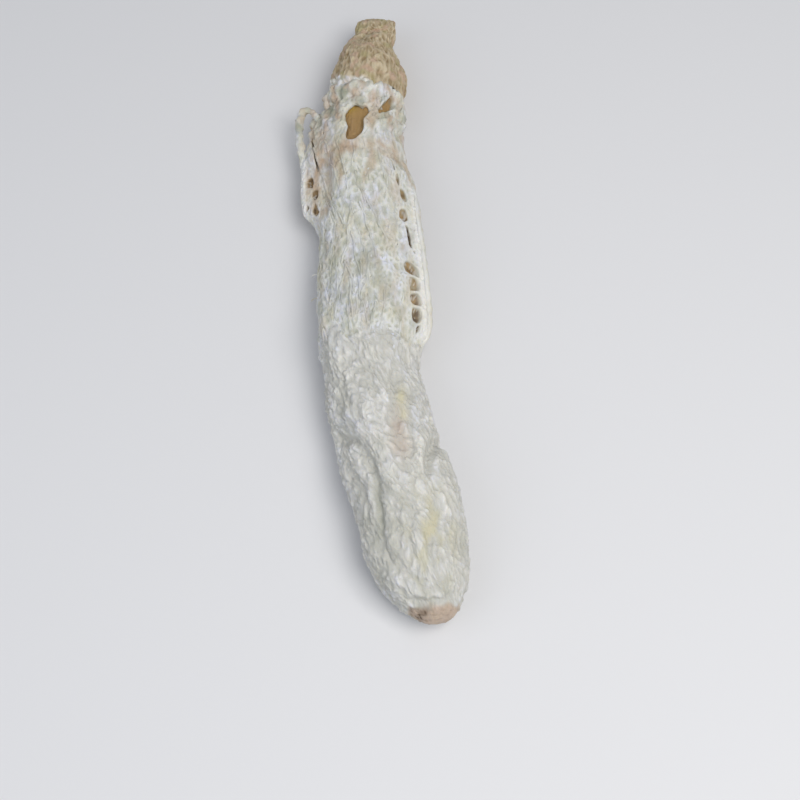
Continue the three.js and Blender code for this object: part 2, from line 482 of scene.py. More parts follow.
def wrinklesAt(y, turn):  # how far the stem's wrinkles stand out, and 1 where they are creased, which is how much painted shade they get
    skin = stemSkin(y, turn)
    wound = turn + stemLook["twist"] * (y - tipY)  # as if the stem were straight
    flat = np.stack([skin * np.cos(wound), y, skin * np.sin(wound)], -1)
    bent = flat + drift(flat, (7, 14, 7), (1, 2, 3)) * (2.4, 3.4, 2.4)
    bent = bent + drift(flat, (2.2, 3.4, 2.2), (17, 18, 19)) * (0.7, 1.0, 0.7)
    lobes = rise(lumps(bent, (7.0, 15.0, 7.0), 4), 0, 0.5)
    pleats = rise(lumps(bent, (2.2, 4.2, 2.2), 5), 0, 0.4)
    crepe = rise(lumps(bent, (1.2, 2.0, 1.2), 6), 0, 0.4)
    crests = np.abs(waves(bent, (1.7, 3.6, 1.7), 12))
    height = (0.8 * waves(flat, (13, 22, 13), 7) + 0.4 * waves(flat, (5, 11, 5), 16) + 0.35 * (lobes - 0.8)
              + 0.22 * (pleats - 0.7) + 0.2 * (crepe - 0.7) - 0.4 * (crests - 0.2)
              + 0.16 * waves(bent, (0.8, 1.3, 0.8), 8))
    top = rise(np.sin(turn), -0.4, 0.15)
    x = axisAt(y)[..., 0] + skin * np.cos(turn)
    wander = 0.5 * waves(flat, 3.5, 9)
    folded = sum(foldAt(x + wander, y, *fold) for fold in stemLook["folds"])
    height += top * folded * (1 + 0.5 * waves(flat, 3, 13))
    # The creases between lumps and the grooves of the folds and of the crest pattern get painted shade.
    creaseShade = (0.42 * (1 - pleats) + 0.25 * (1 - lobes) + 0.25 * (1 - crepe)
              + 0.6 * rise(-folded, 0.1, 0.6) * top + 0.35 * rise(crests, 0.2, 0.6))
    covered = rise(y, hemY + 5, hemY + 10)
    height = height * (1.12 + 0.3 * rise(y, -42, -28)) * (1 - 0.55 * covered)
    return height * (0.3 + 0.7 * rise(y, tipY - 0.5, tipY + 4)), creaseShade * (1 - 0.5 * covered)


def makeStem():
    look = stemLook
    rounding = look["tipRounding"]
    quarter = np.arange(0.02, math.pi / 2, look["step"] / rounding)
    ys = np.concatenate([
        tipY + rounding * (1 - np.cos(quarter)),
        np.arange(tipY + rounding, hemY + 9, look["step"]),
        np.arange(hemY + 9, collarY - 20, look["stepUnderVeil"]),
        np.arange(collarY - 20, look["neckEnd"], look["stepInNeck"]),
    ])
    y, turn = np.meshgrid(ys, turnsOf(look["columns"]), indexing="ij")
    axis = axisAt(y)
    skin = stemSkin(y, turn)
    points = roundAxis(axis, skin, y, turn)
    height, creaseShade = wrinklesAt(y, turn)
    points = points + normalsOf(points) * height[..., None]
    points[..., 2] = np.maximum(points[..., 2], lowest)

    x = points[..., 0]
    top = rise(np.sin(turn), -0.1, 0.5)
    blur = waves(points, (2.5, 5, 2.5), 10)
    endLine = tipY + 2.2 + 0.03 * (x - 12.6) ** 2 + 0.8 * waves(points, 3, 14)
    atTip = 1 - rise(y, endLine - 0.6, endLine + 0.6)
    neck = rise(y, collarY - 20, collarY - 17)
    spots = {"grey": 0, "tan": 0, "yellow": 0}
    addStainsAndShade(spots, look["stainsAndShade"], x, y)
    # Where the veil stands off the stem, under the flaps, the stem is painted ochre and dark brown below:
    # painted shade for the shade under the flaps.
    aside = freeShare(y, turn) * (1 - neck)
    low = 1 - rise(y, -70, -52)
    streaks = atTip * rise(waves(points, (1.1, 3, 1.1), 15), 0.05, 0.5) * (1 - 0.7 * rise(x, 10, 14))
    masks = {
        # Painted shade: the crease mask darkens the creases and folds, more towards the tip and near the hem,
        # with random patches.
        "creaseShade": (creaseShade + 0.25 * low + 0.15 * rise(y, -42, -30)
                   + 0.3 * rise(waves(points, (5, 11, 5), 11), 0, 0.6)),
        "grey": (top * spots["grey"] + 0.6 * atTip * rise(blur, -0.6, 0.4)
                 + 0.3 * low * rise(blur, -0.3, 0.5)),
        "tan": 0.85 * atTip + 0.7 * top * spots["tan"] * (1 + 0.8 * blur),
        "yellow": (top * spots["yellow"]
                   + 0.5 * top * hump(x, 13, 5) * hump(y, -72, 11) * rise(blur, -0.2, 0.5)),
        # Ochre is the neck's own colour, and painted shade under the flaps.
        "ochre": 0.9 * neck + 0.85 * rise(aside, 0.1, 0.5),
        # Painted light: a yellow patch where light falls in at the top of the collar's first eye.
        "goldLight": 0.8 * hump(y, collarY - 5.0, 2.4) * hump(x, -8.0, 2.2) * neck,
        # Dark brown: a spot and streaks at the tip, and painted shade under the flaps.
        "stainAndShade": (0.6 * hump(x, 11.2, 1.4) * hump(y, -89.6, 0.8) + 0.15 * aside * rise(blur, 0.1, 0.6)
                  + 0.08 * atTip + 0.55 * streaks),
    }
    ends = np.array([[axis[0, 0, 0], tipY, axis[0, 0, 1]], [axis[-1, 0, 0], ys[-1], axis[-1, 0, 1]]])
    makeTube("stem_skin", points, ends, masks, fleshMaterial("driedStemFlesh", stemFlesh), "stem")


makeStem()


# The veil is a net of soft strands. It dried flat against the stem and matted, and only its collar and a flap
# at each side stand free.
veilLook = {
    "around": 72,  # once round the veil in the flat drawing of its net, from underneath by the right side
    "mesh": (1.4, 1.9),  # width of a mesh, by the hem and further up
    "backMesh": 2.8,
    "collarMesh": 2.2,
    "packing": 0.86,  # how near meshes come to each other, for the sum of their half widths
    "step": 0.6,  # a strand's points stand this far apart
    "strand": 0.36,  # half a strand's width
    "thick": 0.26,  # half its thickness
    "collarStrand": 0.7,
    "collarThick": 0.7,
    "rimThick": 1.05,  # half the thickness of the rolled rims
    "profile": (60, 25, -20),  # angles round a strand, between its top and its underside
    "cling": 0.1,  # the strands' middle lies this far over the stem's skin
    # How far out the flaps reach, as (place along Y, x).
    "rightEdge": [(-25, 8.0), (-22, 9.2), (-19.5, 10.8), (-17.4, 11.8), (-14, 12.6), (-10.5, 13.1),
                  (-2, 13.6), (10.5, 13.0), (21.5, 11.9), (32, 10.3), (40, 8.2), (48, 6.8), (70, 6.8)],
    "leftEdge": [(-24, -13.2), (-18, -14.4), (-8, -15.6), (10, -16.0), (17, -16.2), (20.5, -17.6),
                 (24, -19.8), (30, -20.6), (40, -20.8), (44, -20.4), (47, -19.6), (52, -19.0), (56.6, -18.2),
                 (57.6, -14.2), (70, -14.2)],
    "droop": 0.12,  # the left flap hangs by this angle
    # Wide openings seen from above, each made of rounds and slots: x, place along Y, half width, half length.
    "openings": [[(-5.9, 46.5, 2.4, 2.6), (-6.5, 51.2, 2.3, 2.7), (-3.4, 52.2, 0.9, 1.1)]],
    # Openings across which a thin film of flesh has dried. The films' brown and grey are partly their own
    # colour and partly painted shade for the dark seen through the openings.
    "filmed": [
        [(3.2, 57.2, 1.1, 1.5), (1.6, 54.7, 0.9, 1.2), (0.3, 52.9, 0.5, 0.7)],
        [(-18.7, 33.6, 1.0, 1.6)], [(-17.1, 29.0, 1.0, 1.7)], [(-16.9, 23.4, 1.1, 1.5)],
        [(-19.0, 25.3, 0.4, 0.9)], [(-14.5, 47.9, 0.3, 0.4)], [(-13.8, 14.0, 0.8, 0.9)],
        [(4.0, 35.2, 0.3, 2.0)], [(5.2, 30.6, 0.25, 1.6)], [(6.9, 25.8, 0.95, 2.8)], [(6.8, 18.9, 1.15, 2.5)],
        [(8.2, 2.6, 1.2, 1.1), (9.9, 1.6, 1.1, 1.2)],
        [(9.3, -2.9, 1.6, 1.2)],
        [(9.7, -6.6, 1.4, 1.3), (10.2, -7.6, 0.9, 0.9)],
        [(9.9, -11.2, 1.5, 1.8)], [(10.5, -14.8, 0.6, 1.4)], [(11.0, -18.1, 0.45, 1.2)],
        [(10.6, -21.2, 0.3, 0.4)], [(9.9, 17.2, 0.2, 0.5)], [(9.9, 7.4, 0.2, 0.5)],
    ],
    "filmSag": 0.8,  # how far the film hangs below the strands
    "filmThickness": 0.12,
    # Stains and painted shade on the films, such as the dark in the slits: x, place along Y, half width,
    # half length, mask, strength.
    "filmStainsAndShade": [
        (3.4, 58.4, 1.6, 1.8, "stainAndShade", 0.35), (-18.7, 34, 2.0, 2.4, "grey", 0.7),
        (-17.1, 29, 2.0, 2.4, "stainAndShade", 0.45), (-17.6, 23.2, 1.0, 2.2, "stainAndShade", 0.9),
        (-16.2, 23.4, 1.1, 2.4, "tan", 0.9), (6.6, 27, 1.6, 2.6, "grey", 0.6),
        (7.2, 17.4, 1.6, 2.4, "tan", 0.6), (9.7, -7.0, 2.0, 2.4, "tan", 0.5),
        (10.0, -11.6, 2.0, 2.6, "stainAndShade", 0.6), (10.8, -16.0, 1.4, 4.0, "stainAndShade", 0.8),
        (9.0, 3.0, 1.4, 1.4, "grey", 0.6), (-17.3, 43.0, 2.5, 9.0, "stainAndShade", 1.2),
        (8.2, 12.4, 1.4, 5.0, "stainAndShade", 1.2),
    ],
    "openingRim": 0.4,  # half the width of the strand round an opening
    "guard": 0.5,  # half the width of the meshes next to an opening
    # Slits: points along each as x, place along Y, half width.
    "slits": [
        [(-16.2, 37.0, 0.04), (-17.3, 43.0, 0.08), (-18.4, 49.2, 0.04)],
        [(8.8, 9.1, 0.1), (8.2, 12.6, 0.1), (7.5, 15.6, 0.1)],
    ],
    # Rolled rims, smooth bands along the flaps' edges: points along each as x, place along Y, half width.
    "rims": [
        [(11.5, -21.5, 0.3), (12.0, -17.6, 0.8), (12.4, -13.6, 1.1), (12.4, -9.3, 1.2), (12.2, -5.4, 1.2),
         (11.9, -1.3, 1.1), (11.6, 3.3, 1.0), (10.9, 10.5, 0.9), (10.0, 18.7, 0.8), (9.5, 24.3, 0.8),
         (8.9, 31, 0.7)],
        [(-18.0, 20.6, 0.8), (-19.6, 24, 0.7), (-20.1, 28, 0.6), (-20.2, 33, 0.6), (-20.3, 38, 0.6),
         (-20.2, 43, 0.6)],
    ],
    # Thick strands along the net: points along each as x, place along Y, radius.
    "strands": [
        [(-17.6, 45.4, 0.35), (-16.0, 39, 0.4), (-14.0, 31.5, 0.45), (-12.0, 23, 0.4), (-10.1, 15.6, 0.25)],
        [(-14.6, 46.0, 0.3), (-12.9, 40, 0.4), (-11.8, 34, 0.4), (-10.2, 27, 0.3), (-8.8, 21, 0.2)],
        [(-11.6, 44.0, 0.3), (-9.8, 37, 0.35), (-8.4, 30, 0.3), (-7.6, 25, 0.2)],
        [(11.8, -18.5, 0.4), (12.2, -13.6, 0.7), (12.3, -9.3, 0.8), (12.1, -5.4, 0.8), (11.8, -1.3, 0.75),
         (11.5, 3.3, 0.7), (10.8, 10.5, 0.6), (9.9, 18.7, 0.55), (9.4, 24.3, 0.5), (8.8, 31, 0.3)],
    ],
    # Long fibres dried onto the net.
    "fibres": 70,
    "fibreLength": (7, 20),
    "fibreRadius": (0.16, 0.34),
    # Free strands, as x, y, z and radius: the loop past the left flap, a knob by the cap, two stray ends.
    "loose": [
        [(-16.4, 53.6, 10.6, 0.7), (-17.4, 55.8, 10.2, 0.8), (-18.6, 57.6, 9.9, 0.85),
         (-20.0, 58.5, 9.6, 0.95), (-21.1, 58.1, 9.3, 1.15), (-21.7, 56.2, 9.0, 1.2), (-21.9, 53.2, 8.8, 1.2),
         (-21.8, 50, 8.6, 1.15), (-21.4, 46.8, 8.4, 1.1), (-20.8, 43.4, 8.2, 1.0), (-20.4, 39.6, 8.2, 0.8),
         (-19.8, 36, 8.4, 0.6)],
        [(-12.4, 62.6, 12.0, 1.0), (-13.9, 62.4, 11.6, 1.1), (-14.7, 60.6, 11.2, 1.0),
         (-14.2, 58.2, 10.8, 0.9), (-13.0, 56.4, 10.6, 0.8)],
        [(-15.2, 5.6, 8, 0.25), (-16.5, 6.2, 7.6, 0.2), (-17.4, 5.4, 7, 0.12)],
        [(-15.4, -1.6, 8, 0.25), (-16.8, -1.4, 7.4, 0.18), (-17.3, -2.2, 7, 0.12)],
    ],
    # Stains and painted shade on the collar and the flaps: x, place along Y, half width, half length, mask,
    # strength. Most of those left of about x = -9, on the collar's left side and on the left flap, are
    # painted shade for the shade that side lies in; the rest are the flesh's own stains.
    "stainsAndShade": [
        (-9.2, 60.0, 1.3, 1.6, "grey", 1.3), (-6.4, 58.2, 1.3, 1.8, "tan", 1.4),
        (-12.8, 56.6, 1.3, 2.6, "grey", 1.4), (-11.2, 53.4, 1.2, 2.0, "tan", 0.5),
        (1.7, 46.8, 0.9, 1.0, "grey", 0.9), (5.6, 50.5, 1.0, 4.0, "grey", 0.6),
        (-9.8, 43.5, 1.2, 2.2, "grey", 0.5), (-0.5, 40.6, 3.8, 2.8, "tan", 0.8),
        (-8.9, 39.8, 3.4, 2.6, "tan", 0.7), (4.0, 39.6, 2.6, 4.2, "tan", 0.6),
        (-19.6, 40.0, 1.0, 2.2, "grey", 0.9), (-14.4, 21.4, 1.2, 1.6, "tan", 1.0),
        (-10.2, 34.0, 0.9, 5.0, "grey", 0.45), (-11.8, 41.0, 0.8, 2.4, "ochre", 0.4),
        (-10.8, 36.5, 0.9, 2.6, "ochre", 0.55), (-9.6, 31.5, 0.8, 2.4, "ochre", 0.45),
        (-13.6, 39.0, 0.5, 3.0, "ochre", 0.3), (-12.6, 33.5, 0.5, 2.4, "ochre", 0.3),
        (-13.0, 34.0, 1.2, 6.0, "tan", 0.5), (-15.6, 44.0, 1.3, 5.0, "tan", 0.55),
        (-12.6, 42.0, 1.6, 3.0, "tan", 0.4), (-16.5, 42.0, 3.5, 10.0, "tan", 0.55),
        (-17.0, 28.0, 2.5, 6.0, "tan", 0.5), (-21.0, 52.0, 2.0, 7.0, "grey", 0.5),
        (9.6, -7.4, 1.0, 1.6, "tan", 0.6), (6.6, 8.0, 0.9, 1.6, "tan", 0.5),
        (1.1, -23.0, 0.9, 0.9, "grey", 0.9),
    ],
}
filmDepth = 2  # marks the points of the films, where others are at most a little over 1
netTop = rimY + 3
gridStep = 0.75
gridStart = hemY - 5


def veilGrid():  # the middle of the veil's thickness: rows of points along Y, columns round from underneath
    look = veilLook
    columns = 168
    left = math.pi + look["droop"]
    bounds = [-math.pi / 2, 0, math.pi / 2, left, 1.5 * math.pi]
    fine = np.linspace(bounds[0], bounds[-1], 721)
    ys = np.arange(gridStart, netTop + 3, gridStep)
    y, turn = np.meshgrid(ys, fine, indexing="ij")
    axis = axisAt(y)
    collar = veilSkin(y, np.where(np.cos(turn) < 0, math.pi - turn, turn)) - 0.6
    collar += rise(y, rimY - 3, rimY) * np.maximum(capSkin(y, turn) + 0.1 - collar, 0)
    ragged = 5 * waves(np.stack([9 * np.cos(turn), 0.6 * y, 9 * np.sin(turn)], -1), 4.5, 39)
    core = stemSkin(y, turn) + look["cling"] - 0.6 * (1 - rise(y + ragged, hemY + 1, hemY + 9))
    core += rise(y, collarY - 22, collarY - 18) * (collar - core)
    for outward, edge, sharpness in ((0, look["rightEdge"], 4), (left, look["leftEdge"], 22)):
        place = np.argmin(np.abs(fine - outward))
        edgeY, edgeX = np.array(edge).T
        edge = abs(np.interp(ys, edgeY, edgeX) - axis[:, 0, 0]) - 0.5
        spare = np.maximum(edge / abs(math.cos(outward)) - core[:, place], 0)
        core += spare[:, None] * np.maximum(np.cos(turn - outward), 0) ** sharpness
    core -= 1.7 * rise(y, rimY + 0.4, netTop)
    points = roundAxis(axis, core, y, turn)
    grid = np.empty((len(ys), columns, 3))
    for i, row in enumerate(points):
        length = np.concatenate([[0], np.cumsum(np.linalg.norm(np.diff(row, axis=0), axis=1))])
        stops = np.interp(np.arange(columns) * 4 / columns, range(5), np.interp(bounds, fine, length))
        for k in range(3):
            grid[i, :, k] = np.interp(stops, length, row[:, k])
    return grid


veilMiddle = veilGrid()
veilOut = normalsOf(veilMiddle)
veilSpread = np.linalg.norm(np.roll(veilMiddle, -1, axis=1) - veilMiddle, axis=2)
veilSpread *= veilMiddle.shape[1] / veilLook["around"]


def onVeil(grid, flat):  # reads one of these grids at places in the flat drawing: place round, place along Y
    column = flat[..., 0] / veilLook["around"] * grid.shape[1]
    return readGrid(grid, (flat[..., 1] - gridStart) / gridStep, column)


def spreadAt(s, y):  # mm on the veil for 1 in the flat drawing, across
    return onVeil(veilSpread, np.stack(np.broadcast_arrays(s, y), -1).astype(float))


def roundAt(x, y):  # how far round the veil its upper side lies at x, y
    row = veilMiddle[int(round((y - gridStart) / gridStep))]
    quarter = len(row) // 4
    return (quarter + np.argmin(np.abs(row[quarter:3 * quarter, 0] - x))) / len(row) * veilLook["around"]


def outOfVeil(flat):
    out = onVeil(veilOut, flat)
    return out / np.linalg.norm(out, axis=-1, keepdims=True)


def clingAt(place):  # the stem's wrinkles, as far as the veil lies on them
    axis = axisAt(place[:, 1])
    turn = np.arctan2(place[:, 2] - axis[:, 1], place[:, 0] - axis[:, 0])
    held = 1 - np.clip(freeShare(place[:, 1], turn) / stemLook["rightGap"], 0, 1)
    return held * wrinklesAt(place[:, 1], turn)[0]


def meshWidth(s, y):  # how wide a mesh is at each place on the net
    look = veilLook
    share = s / look["around"]
    back = 1 - rise(share, 0.17, 0.25) * (1 - rise(share, 0.75, 0.83))
    low, high = look["mesh"]
    width = low + (high - low) * rise(y, -5, 20)
    width = width + (look["backMesh"] - width) * back
    return width + (look["collarMesh"] - width) * rise(y, collarY - 15, collarY - 9)


# Meshes are longer than wide, so the net is laid out on places along Y that are squashed by as much.
netY = np.linspace(hemY - 14, netTop + 14, 500)
netStretch = 1.5 + 0.4 * rise(netY, -5, 18) - 0.6 * rise(netY, collarY - 17, collarY - 9)
netV = np.concatenate([[0], np.cumsum(np.diff(netY) / (netStretch[1:] + netStretch[:-1]) * 2)])


def squash(y):
    return np.interp(y, netY, netV)


def unsquash(v):
    return np.interp(v, netV, netY)


def lineAt(line, y):  # x and width, at places along Y, of a line of points as x, place along Y and width
    xs, ys, widths = np.array(line).T
    return np.interp(y, ys, xs), np.interp(y, ys, widths)


def plannedMeshes():  # place round, squashed place along, half width and kind
    look = veilLook
    planned = []
    for group, rounds in enumerate(look["openings"] + look["filmed"]):
        kind = f"opening{group}" if rounds in look["openings"] else f"openingFilm{group}"
        for x, y, halfWidth, halfLength in rounds:
            s = roundAt(x, y)
            halfWidth = (halfWidth + look["openingRim"]) / spreadAt(s, y)
            halfLength += look["openingRim"]
            low, high = squash(y - halfLength), squash(y + halfLength)
            count = max(1, round((high - low) / 2 / halfWidth))
            places = np.linspace(low + halfWidth, high - halfWidth, count)
            planned += [(s, v, halfWidth, kind) for v in (places if count > 1 else [(low + high) / 2])]
    for line in look["rims"] + look["slits"]:
        isSlit = line in look["slits"]
        start = len(planned)
        v = squash(line[0][1])
        while v < squash(line[-1][1]):
            y = unsquash(v)
            x, width = lineAt(line, y)
            s = roundAt(x, y)
            halfWidth = (width + isSlit * look["openingRim"]) / spreadAt(s, y)
            planned.append((s, v, halfWidth, f"openingFilmSlit{start}" if isSlit else f"rim{len(planned)}"))
            v += 1.2 * halfWidth
    return planned


def guardMeshes(planned):  # small meshes close round each planned opening, which keep it to its size
    guards = []
    for s, v, halfWidth, kind in planned:
        if not kind.startswith("opening"):
            continue
        size = veilLook["guard"] / spreadAt(s, unsquash(v))
        count = max(5, round(math.pi * (halfWidth + size) / size))
        for k in range(count):
            turn = 2 * math.pi * k / count
            place = (s + (halfWidth + size) * math.cos(turn), v + (halfWidth + size) * math.sin(turn))
            free = all(math.dist(place, other[:2]) > 0.97 * (other[2] + size) for other in planned)
            if free and all(math.dist(place, other[:2]) > 0.75 * (other[2] + size) for other in guards):
                guards.append((*place, size, f"meshGuard{len(guards)}"))
    return guards


def openingGap(place):  # how far points of the upper side lie from the middle of a planned opening
    plan = [(x, y) for rounds in veilLook["openings"] + veilLook["filmed"] for x, y, *_ in rounds]
    for slit in veilLook["slits"]:
        plan += [(lineAt(slit, y)[0], y) for y in np.arange(slit[0][1], slit[-1][1], 1.5)]
    plan = np.array(plan)
    return np.min(np.hypot(place[:, None, 0] - plan[:, 0], (place[:, None, 1] - plan[:, 1]) / 1.5), axis=1)


def wrapped(gaps):  # the short way round
    gaps[..., 0] -= veilLook["around"] * np.round(gaps[..., 0] / veilLook["around"])
    return gaps


def scatterMeshes():  # the planned meshes first, then at random between them
    planned = plannedMeshes()
    planned += guardMeshes(planned)
    rng = np.random.default_rng(5)
    tries, most = 50000, 6000
    points, radii = np.empty((most, 2)), np.empty(most)
    count = len(planned)
    points[:count], radii[:count] = [p[:2] for p in planned], [p[2] for p in planned]
    s, y = rng.random(tries) * veilLook["around"], rng.uniform(hemY - 9, netTop + 9, tries)
    sizes = meshWidth(s, y) * rng.uniform(0.6, 1.6, tries) / 2 / spreadAt(s, y)
    for point, size in zip(np.column_stack([s, squash(y)]), sizes):
        gap = wrapped(points[:count] - point)
        if (np.hypot(gap[:, 0], gap[:, 1]) > veilLook["packing"] * (radii[:count] + size)).all():
            points[count], radii[count] = point, size
            count += 1
    kinds = [p[3] for p in planned] + [f"mesh{k}" for k in range(len(planned), count)]
    return points[:count], radii[:count], kinds


def cutCell(cell, towards, limit):  # keeps the part of a cell that lies short of a straight line
    side = [x * towards[0] + v * towards[1] - limit for x, v in cell]
    kept = []
    for k, here in enumerate(cell):
        there, a, b = cell[(k + 1) % len(cell)], side[k], side[(k + 1) % len(cell)]
        if a <= 0:
            kept.append(here)
        if (a < 0) != (b < 0):
            t = a / (a - b)
            kept.append((here[0] + t * (there[0] - here[0]), here[1] + t * (there[1] - here[1])))
    return kept


def drawNet():  # the net laid flat: the points along its strands, and the loop of points round each mesh
    around = veilLook["around"]
    snap = 40  # corners within a fortieth of a millimetre are the same one
    neighbours = 25
    seeds, radii, kinds = scatterMeshes()
    seedY = unsquash(seeds[:, 1])
    hemLine = hemY + 1.0 + 1.2 * waves(np.column_stack([seeds, seeds[:, 0]]), 7, 20)
    topLine = netTop - 0.6 + 0.8 * waves(np.column_stack([seeds, seeds[:, 0]]), 5, 19)

    corners, numbers, loops = [], {}, {}
    for i, seed in enumerate(seeds):
        if not hemLine[i] < seedY[i] < topLine[i]:
            continue
        gap = wrapped(seeds - seed)
        distance = np.hypot(gap[:, 0], gap[:, 1])
        reach = 4 * radii[i] + 3
        cell = [(-reach, -reach), (reach, -reach), (reach, reach), (-reach, reach)]
        for k in np.argsort(distance)[1:neighbours + 1]:
            limit = (distance[k] ** 2 + radii[i] ** 2 - radii[k] ** 2) / (2 * distance[k])
            cell = cutCell(cell, gap[k] / distance[k], limit)
        ring = []
        for x, v in cell:
            x, v = (seed[0] + x) % around, seed[1] + v
            key = (round(x * snap) % round(around * snap), round(v * snap))
            if key not in numbers:
                numbers[key] = len(corners)
                corners.append(np.array([x, unsquash(v)]))
            if not ring or ring[-1] != numbers[key]:
                ring.append(numbers[key])
        if ring and ring[0] == ring[-1]:
            ring.pop()
        if len(ring) > 2:
            loops.setdefault(kinds[i], []).append(ring)

    # Meshes of one opening lose the strands between them. Past the last strands is the outside.
    sides = {}
    for kind, rings in loops.items():
        edges = {(a, b) for ring in rings for a, b in zip(ring, ring[1:] + ring[:1])}
        sides[kind] = {a: b for a, b in edges if (b, a) not in edges}
    used = {(a, b) for edges in sides.values() for a, b in edges.items()}
    sides["outside"] = {b: a for a, b in used if (b, a) not in used}

    between = {}

    def strandPoints(a, b):  # the points of a strand from corner a to corner b, without b
        low, high = min(a, b), max(a, b)
        if (low, high) not in between:
            run = wrapped(corners[high] - corners[low])
            count = max(1, round(np.hypot(*run) / veilLook["step"]))
            between[low, high] = list(range(len(corners), len(corners) + count - 1))
            corners.extend(corners[low] + run * k / count for k in range(1, count))
        inner = between[low, high]
        return [a, *(inner if a == low else inner[::-1])]

    rings = []
    for kind, ahead in sides.items():
        left = dict(sorted(ahead.items()))
        while left:
            here = next(iter(left))
            ring = []
            while here in left:
                there = left.pop(here)
                ring += strandPoints(here, there)
                here = there
            rings.append((kind, np.array(ring)))
    used = np.unique(np.concatenate([ring for _, ring in rings]))  # some corners lost all their strands
    return np.array(corners)[used], [(kind, np.searchsorted(used, ring)) for kind, ring in rings]


def relaxNet(points, rings, times):  # rounds the bends of the strands, as if they pulled straight
    pairs = {(min(a, b), max(a, b)) for _, ring in rings for a, b in zip(ring, np.roll(ring, -1))}
    a, b = np.array(sorted(pairs)).T
    count = np.bincount(np.concatenate([a, b]), minlength=len(points))[:, None]
    for _ in range(times):
        gap = wrapped(points[b] - points[a])
        pull = np.zeros_like(points)
        np.add.at(pull, a, gap)
        np.add.at(pull, b, -gap)
        points = points + 0.5 * pull / count
    return points


def holeIn(edge, inset, steps=6):  # moves a loop of points inwards, and rounds it as it goes
    hole = edge.copy()
    for _ in range(steps):
        ahead, behind = np.roll(hole, -1, axis=0) - hole, np.roll(hole, 1, axis=0) - hole
        run = ahead - behind
        run /= np.maximum(np.linalg.norm(run, axis=1, keepdims=True), 1e-6)
        hole = hole + np.stack([-run[:, 1], run[:, 0]], -1) * inset[:, None] / steps + 0.15 * (ahead + behind)
    return hole


def rimAt(place):  # 1 along the middle of a rolled rim, fading towards its sides
    share = np.zeros(len(place))
    for rim in veilLook["rims"]:
        start, end = rim[0][1], rim[-1][1]
        x, width = lineAt(rim, place[:, 1])
        inside = rise(place[:, 1], start, start + 6) * (1 - rise(place[:, 1], end - 4, end + 1))
        share = np.maximum(share, inside * hump(place[:, 0], x, 1.2 * width) * rise(place[:, 2], 5, 8))
    return share


def bendNet(points):  # lets the drawing wander, and gives the places of its points on the veil
    place = onVeil(veilMiddle, points)
    loose = np.where(place[:, 2] > 8, rise(openingGap(place), 1.5, 4), 1)
    for size, amount, seed in ((1.0, 0.2, 20), (1.8, 0.35, 21), (5, 0.7, 22), (13, 1.1, 23)):
        held = 1.2 if size < 2 else 0.35  # the small bends go right up to the planned openings
        for k in (0, 1):
            points[:, k] += amount * waves(place, size, seed + 10 * k) * (held + (1 - held) * loose)
    return place


def strandSizes(place, y):  # half the width and half the thickness of a strand
    look = veilLook
    collar = rise(y, collarY - 15, collarY - 9)
    vary = waves(place, 2.2, 24)
    wider, thicker = look["collarStrand"] - look["strand"], look["collarThick"] - look["thick"]
    halfWidth = look["strand"] * (1 + 0.55 * vary) + wider * collar * (1 + 0.5 * vary)
    thick = look["thick"] * (1 + 0.4 * vary) + thicker * collar * (1 + 0.6 * vary)
    return halfWidth, thick + rimAt(place) * (look["rimThick"] - thick)


def closedAt(centres):  # most meshes on the upper side closed up as the veil dried, and fewer underneath
    x, y, z = centres.T
    shut = 0.6 * waves(centres, 6, 25) + 0.6 * waves(centres, 2.0, 26)
    closed = shut > np.where(z > 11, -0.7, 0.35)
    closed |= (y > collarY - 12) | ((z > 8) & ((x < -13) | (x > 4) | (y > 36)))
    return closed | ((z < 9) & ((x < -15) | (x > 9)))


